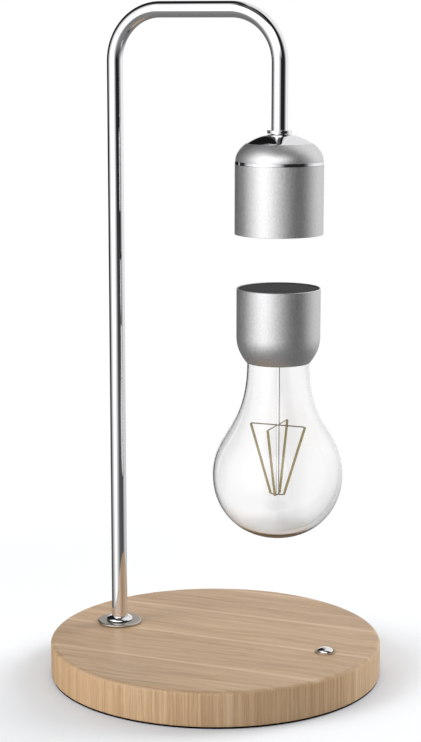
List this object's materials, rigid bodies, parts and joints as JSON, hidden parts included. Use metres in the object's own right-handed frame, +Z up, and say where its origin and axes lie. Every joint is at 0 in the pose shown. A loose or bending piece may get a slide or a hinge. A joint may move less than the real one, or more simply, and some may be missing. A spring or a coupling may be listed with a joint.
{
  "type": "levitating bulb lamp",
  "caption": "Table lamp with a round wooden base and a bent chrome tube, whose magnetic head holds a clear filament bulb in a metal cup floating below it.",
  "frame": {"origin": "on the table, under the centre of the round base", "axes": "+Z up; the arm lies in the XZ plane, with its post at -X and its head, bulb and button at +X"},
  "size_m": [0.2, 0.2, 0.4021],
  "materials": {
    "oak": "light oak strips, satin lacquer",
    "foam": "closed-cell foam",
    "zinc_steel": "zinc plated",
    "iron": "plain",
    "circuit_board": "solder mask",
    "brass": "turned",
    "cream_plastic": "moulded",
    "black_plastic": "moulded",
    "chrome": "polished",
    "satin_nickel": "satin",
    "cable_jacket": "smooth",
    "copper": "enamelled copper wire",
    "lid_plastic": "fine grain",
    "magnet": "nickel plated",
    "clear_glass": "clear",
    "filament": "phosphor coating"
  },
  "bodies": {
    "stand": {"wooden_base": "oak", "anti_slip_pad": "foam", "base_plate": "zinc_steel", "plate_screw_1": "zinc_steel", "plate_screw_2": "zinc_steel", "plate_screw_3": "zinc_steel", "ballast_weight": "iron", "control_board": "circuit_board", "board_standoff_1": "brass", "board_standoff_2": "brass", "cable_header": "cream_plastic", "board_capacitor": "zinc_steel", "power_inlet": "black_plastic", "inlet_pin": "brass", "inlet_lead": "black_plastic", "button_bezel": "chrome", "button_spring": "zinc_steel", "switch_body": "black_plastic", "switch_nut": "zinc_steel", "switch_lead": "black_plastic", "arm_tube": "chrome", "post_rosette": "chrome", "post_bead": "chrome", "post_washer": "zinc_steel", "post_nut": "zinc_steel", "arm_cable": "cable_jacket", "head_collar": "chrome", "head_dome": "satin_nickel", "head_trim_ring": "chrome", "head_sleeve": "satin_nickel", "head_lock_nut": "zinc_steel", "coil_carrier": "zinc_steel", "driver_board": "circuit_board", "driver_spacer": "cream_plastic", "coil_spool": "cream_plastic", "electromagnet_coil": "copper", "magnet_core": "iron", "sensor_board": "circuit_board", "field_sensor": "black_plastic", "transmitter_coil": "copper", "head_face_plate": "black_plastic", "head_screw_1": "zinc_steel", "head_screw_2": "zinc_steel", "head_screw_3": "zinc_steel"},
    "button": {"button_cap": "chrome"},
    "carriage": {"lifting_magnet": "magnet"},
    "bulb": {"bulb_cup": "satin_nickel", "cup_lid": "lid_plastic", "magnet_holder": "black_plastic", "receiver_coil": "copper", "receiver_board": "circuit_board", "neck_ring": "black_plastic", "glass_bulb": "clear_glass", "glass_stem": "clear_glass", "filament_1": "filament", "filament_2": "filament", "filament_3": "filament", "filament_4": "filament", "filament_cross": "zinc_steel", "filament_hub": "zinc_steel"}
  },
  "joints": [
    {"name": "button_press", "type": "slide", "parent": "stand", "child": "button", "axis": [0, 0, -1], "range_m": [0, 0.0012], "stiffness_N_per_m": 1000, "springref_m": -0.0012, "deforming": ["button_spring"]},
    {"name": "bulb_float", "type": "slide", "parent": "stand", "child": "carriage", "axis": [0, 0, 1], "range_m": [-0.0665, 0.0306], "stiffness_N_per_m": 60, "springref_m": 0.0298},
    {"name": "bulb_spin", "type": "hinge", "parent": "carriage", "child": "bulb", "pos_m": [0.0403, 0, 0.2], "axis": [0, 0, 1], "continuous": true}
  ]
}
